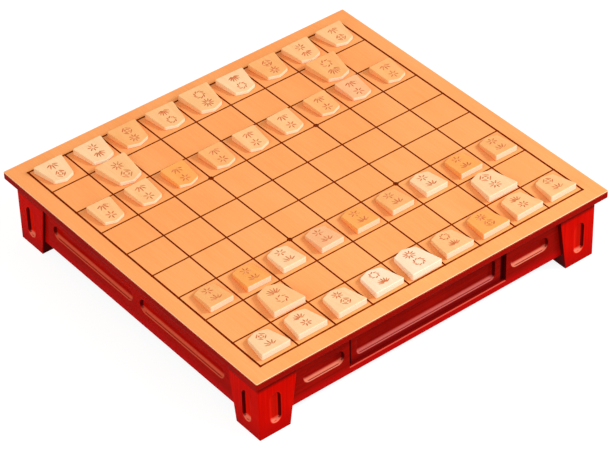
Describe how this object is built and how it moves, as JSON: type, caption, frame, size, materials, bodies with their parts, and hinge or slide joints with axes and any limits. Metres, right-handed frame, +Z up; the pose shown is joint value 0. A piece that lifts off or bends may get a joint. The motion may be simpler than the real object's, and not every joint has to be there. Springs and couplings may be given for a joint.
{
  "type": "shogi board",
  "caption": "Low square-gridded wooden playing table on four corner legs, with a drawer under each player's edge and a full set of wedge-shaped pieces.",
  "frame": {"origin": "on the floor, under the middle of the playing board", "axes": "+X along the near player's edge towards that player's right, +Y from the near player to the far player, +Z up"},
  "size_m": [0.324, 0.305, 0.067],
  "materials": {
    "bare_wood": "satin clear coat on pale orange wood",
    "red_lacquer": "gloss red lacquer",
    "deep_lacquer": "gloss dark red lacquer",
    "tray_wood": "plain sanded wood",
    "koma_ivory": "polished near-white wood",
    "koma_pale": "polished pale yellow wood",
    "koma_cream": "polished cream wood",
    "koma_peach": "polished peach wood",
    "koma_amber": "polished amber wood",
    "koma_blush": "polished pinkish wood"
  },
  "bodies": {
    "table": {"playing_facing": "bare_wood", "board_core": "deep_lacquer", "leg_front_left": "red_lacquer", "leg_front_right": "red_lacquer", "leg_back_right": "red_lacquer", "leg_back_left": "red_lacquer", "apron_front": "deep_lacquer", "apron_back": "deep_lacquer", "apron_left": "deep_lacquer", "apron_right": "deep_lacquer", "runner_left": "tray_wood", "runner_right": "tray_wood", "drawer_stop_rail": "tray_wood"},
    "front_drawer": {"front_drawer_front": "deep_lacquer", "front_drawer_frame": "tray_wood", "front_drawer_bottom": "tray_wood"},
    "back_drawer": {"back_drawer_front": "deep_lacquer", "back_drawer_frame": "tray_wood", "back_drawer_bottom": "tray_wood"},
    "near_lance_left": {"koma_near_lance_left": "koma_pale"},
    "near_knight_left": {"koma_near_knight_left": "koma_pale"},
    "near_silver_left": {"koma_near_silver_left": "koma_pale"},
    "near_gold_left": {"koma_near_gold_left": "koma_ivory"},
    "near_king": {"koma_near_king": "koma_ivory"},
    "near_gold_right": {"koma_near_gold_right": "koma_cream"},
    "near_silver_right": {"koma_near_silver_right": "koma_amber"},
    "near_knight_right": {"koma_near_knight_right": "koma_cream"},
    "near_lance_right": {"koma_near_lance_right": "koma_cream"},
    "near_bishop": {"koma_near_bishop": "koma_cream"},
    "near_rook": {"koma_near_rook": "koma_pale"},
    "near_pawn_1": {"koma_near_pawn_1": "koma_peach"},
    "near_pawn_2": {"koma_near_pawn_2": "koma_amber"},
    "near_pawn_3": {"koma_near_pawn_3": "koma_pale"},
    "near_pawn_4": {"koma_near_pawn_4": "koma_blush"},
    "near_pawn_5": {"koma_near_pawn_5": "koma_amber"},
    "near_pawn_6": {"koma_near_pawn_6": "koma_peach"},
    "near_pawn_7": {"koma_near_pawn_7": "koma_pale"},
    "near_pawn_8": {"koma_near_pawn_8": "koma_amber"},
    "near_pawn_9": {"koma_near_pawn_9": "koma_peach"},
    "far_lance_left": {"koma_far_lance_left": "koma_cream"},
    "far_knight_left": {"koma_far_knight_left": "koma_cream"},
    "far_silver_left": {"koma_far_silver_left": "koma_peach"},
    "far_gold_left": {"koma_far_gold_left": "koma_pale"},
    "far_king": {"koma_far_king": "koma_cream"},
    "far_gold_right": {"koma_far_gold_right": "koma_cream"},
    "far_silver_right": {"koma_far_silver_right": "koma_peach"},
    "far_knight_right": {"koma_far_knight_right": "koma_pale"},
    "far_lance_right": {"koma_far_lance_right": "koma_pale"},
    "far_bishop": {"koma_far_bishop": "koma_peach"},
    "far_rook": {"koma_far_rook": "koma_cream"},
    "far_pawn_1": {"koma_far_pawn_1": "koma_peach"},
    "far_pawn_2": {"koma_far_pawn_2": "koma_blush"},
    "far_pawn_3": {"koma_far_pawn_3": "koma_peach"},
    "far_pawn_4": {"koma_far_pawn_4": "koma_cream"},
    "far_pawn_5": {"koma_far_pawn_5": "koma_cream"},
    "far_pawn_6": {"koma_far_pawn_6": "koma_peach"},
    "far_pawn_7": {"koma_far_pawn_7": "koma_amber"},
    "far_pawn_8": {"koma_far_pawn_8": "koma_cream"},
    "far_pawn_9": {"koma_far_pawn_9": "koma_cream"}
  },
  "joints": [
    {"name": "back_drawer_slide", "type": "slide", "parent": "table", "child": "back_drawer", "axis": [0, 1, 0], "range_m": [0, 0.1]},
    {"name": "front_drawer_slide", "type": "slide", "parent": "table", "child": "front_drawer", "axis": [0, -1, 0], "range_m": [0, 0.1]},
    {"name": "lift_near_lance_left", "type": "slide", "parent": "table", "child": "near_lance_left", "axis": [0, 0, 1], "range_m": [0, 0.03]},
    {"name": "lift_near_knight_left", "type": "slide", "parent": "table", "child": "near_knight_left", "axis": [0, 0, 1], "range_m": [0, 0.03]},
    {"name": "lift_near_silver_left", "type": "slide", "parent": "table", "child": "near_silver_left", "axis": [0, 0, 1], "range_m": [0, 0.03]},
    {"name": "lift_near_gold_left", "type": "slide", "parent": "table", "child": "near_gold_left", "axis": [0, 0, 1], "range_m": [0, 0.03]},
    {"name": "lift_near_king", "type": "slide", "parent": "table", "child": "near_king", "axis": [0, 0, 1], "range_m": [0, 0.03]},
    {"name": "lift_near_gold_right", "type": "slide", "parent": "table", "child": "near_gold_right", "axis": [0, 0, 1], "range_m": [0, 0.03]},
    {"name": "lift_near_silver_right", "type": "slide", "parent": "table", "child": "near_silver_right", "axis": [0, 0, 1], "range_m": [0, 0.03]},
    {"name": "lift_near_knight_right", "type": "slide", "parent": "table", "child": "near_knight_right", "axis": [0, 0, 1], "range_m": [0, 0.03]},
    {"name": "lift_near_lance_right", "type": "slide", "parent": "table", "child": "near_lance_right", "axis": [0, 0, 1], "range_m": [0, 0.03]},
    {"name": "lift_near_bishop", "type": "slide", "parent": "table", "child": "near_bishop", "axis": [0, 0, 1], "range_m": [0, 0.03]},
    {"name": "lift_near_rook", "type": "slide", "parent": "table", "child": "near_rook", "axis": [0, 0, 1], "range_m": [0, 0.03]},
    {"name": "lift_near_pawn_1", "type": "slide", "parent": "table", "child": "near_pawn_1", "axis": [0, 0, 1], "range_m": [0, 0.03]},
    {"name": "lift_near_pawn_2", "type": "slide", "parent": "table", "child": "near_pawn_2", "axis": [0, 0, 1], "range_m": [0, 0.03]},
    {"name": "lift_near_pawn_3", "type": "slide", "parent": "table", "child": "near_pawn_3", "axis": [0, 0, 1], "range_m": [0, 0.03]},
    {"name": "lift_near_pawn_4", "type": "slide", "parent": "table", "child": "near_pawn_4", "axis": [0, 0, 1], "range_m": [0, 0.03]},
    {"name": "lift_near_pawn_5", "type": "slide", "parent": "table", "child": "near_pawn_5", "axis": [0, 0, 1], "range_m": [0, 0.03]},
    {"name": "lift_near_pawn_6", "type": "slide", "parent": "table", "child": "near_pawn_6", "axis": [0, 0, 1], "range_m": [0, 0.03]},
    {"name": "lift_near_pawn_7", "type": "slide", "parent": "table", "child": "near_pawn_7", "axis": [0, 0, 1], "range_m": [0, 0.03]},
    {"name": "lift_near_pawn_8", "type": "slide", "parent": "table", "child": "near_pawn_8", "axis": [0, 0, 1], "range_m": [0, 0.03]},
    {"name": "lift_near_pawn_9", "type": "slide", "parent": "table", "child": "near_pawn_9", "axis": [0, 0, 1], "range_m": [0, 0.03]},
    {"name": "lift_far_lance_left", "type": "slide", "parent": "table", "child": "far_lance_left", "axis": [0, 0, 1], "range_m": [0, 0.03]},
    {"name": "lift_far_knight_left", "type": "slide", "parent": "table", "child": "far_knight_left", "axis": [0, 0, 1], "range_m": [0, 0.03]},
    {"name": "lift_far_silver_left", "type": "slide", "parent": "table", "child": "far_silver_left", "axis": [0, 0, 1], "range_m": [0, 0.03]},
    {"name": "lift_far_gold_left", "type": "slide", "parent": "table", "child": "far_gold_left", "axis": [0, 0, 1], "range_m": [0, 0.03]},
    {"name": "lift_far_king", "type": "slide", "parent": "table", "child": "far_king", "axis": [0, 0, 1], "range_m": [0, 0.03]},
    {"name": "lift_far_gold_right", "type": "slide", "parent": "table", "child": "far_gold_right", "axis": [0, 0, 1], "range_m": [0, 0.03]},
    {"name": "lift_far_silver_right", "type": "slide", "parent": "table", "child": "far_silver_right", "axis": [0, 0, 1], "range_m": [0, 0.03]},
    {"name": "lift_far_knight_right", "type": "slide", "parent": "table", "child": "far_knight_right", "axis": [0, 0, 1], "range_m": [0, 0.03]},
    {"name": "lift_far_lance_right", "type": "slide", "parent": "table", "child": "far_lance_right", "axis": [0, 0, 1], "range_m": [0, 0.03]},
    {"name": "lift_far_bishop", "type": "slide", "parent": "table", "child": "far_bishop", "axis": [0, 0, 1], "range_m": [0, 0.03]},
    {"name": "lift_far_rook", "type": "slide", "parent": "table", "child": "far_rook", "axis": [0, 0, 1], "range_m": [0, 0.03]},
    {"name": "lift_far_pawn_1", "type": "slide", "parent": "table", "child": "far_pawn_1", "axis": [0, 0, 1], "range_m": [0, 0.03]},
    {"name": "lift_far_pawn_2", "type": "slide", "parent": "table", "child": "far_pawn_2", "axis": [0, 0, 1], "range_m": [0, 0.03]},
    {"name": "lift_far_pawn_3", "type": "slide", "parent": "table", "child": "far_pawn_3", "axis": [0, 0, 1], "range_m": [0, 0.03]},
    {"name": "lift_far_pawn_4", "type": "slide", "parent": "table", "child": "far_pawn_4", "axis": [0, 0, 1], "range_m": [0, 0.03]},
    {"name": "lift_far_pawn_5", "type": "slide", "parent": "table", "child": "far_pawn_5", "axis": [0, 0, 1], "range_m": [0, 0.03]},
    {"name": "lift_far_pawn_6", "type": "slide", "parent": "table", "child": "far_pawn_6", "axis": [0, 0, 1], "range_m": [0, 0.03]},
    {"name": "lift_far_pawn_7", "type": "slide", "parent": "table", "child": "far_pawn_7", "axis": [0, 0, 1], "range_m": [0, 0.03]},
    {"name": "lift_far_pawn_8", "type": "slide", "parent": "table", "child": "far_pawn_8", "axis": [0, 0, 1], "range_m": [0, 0.03]},
    {"name": "lift_far_pawn_9", "type": "slide", "parent": "table", "child": "far_pawn_9", "axis": [0, 0, 1], "range_m": [0, 0.03]}
  ]
}
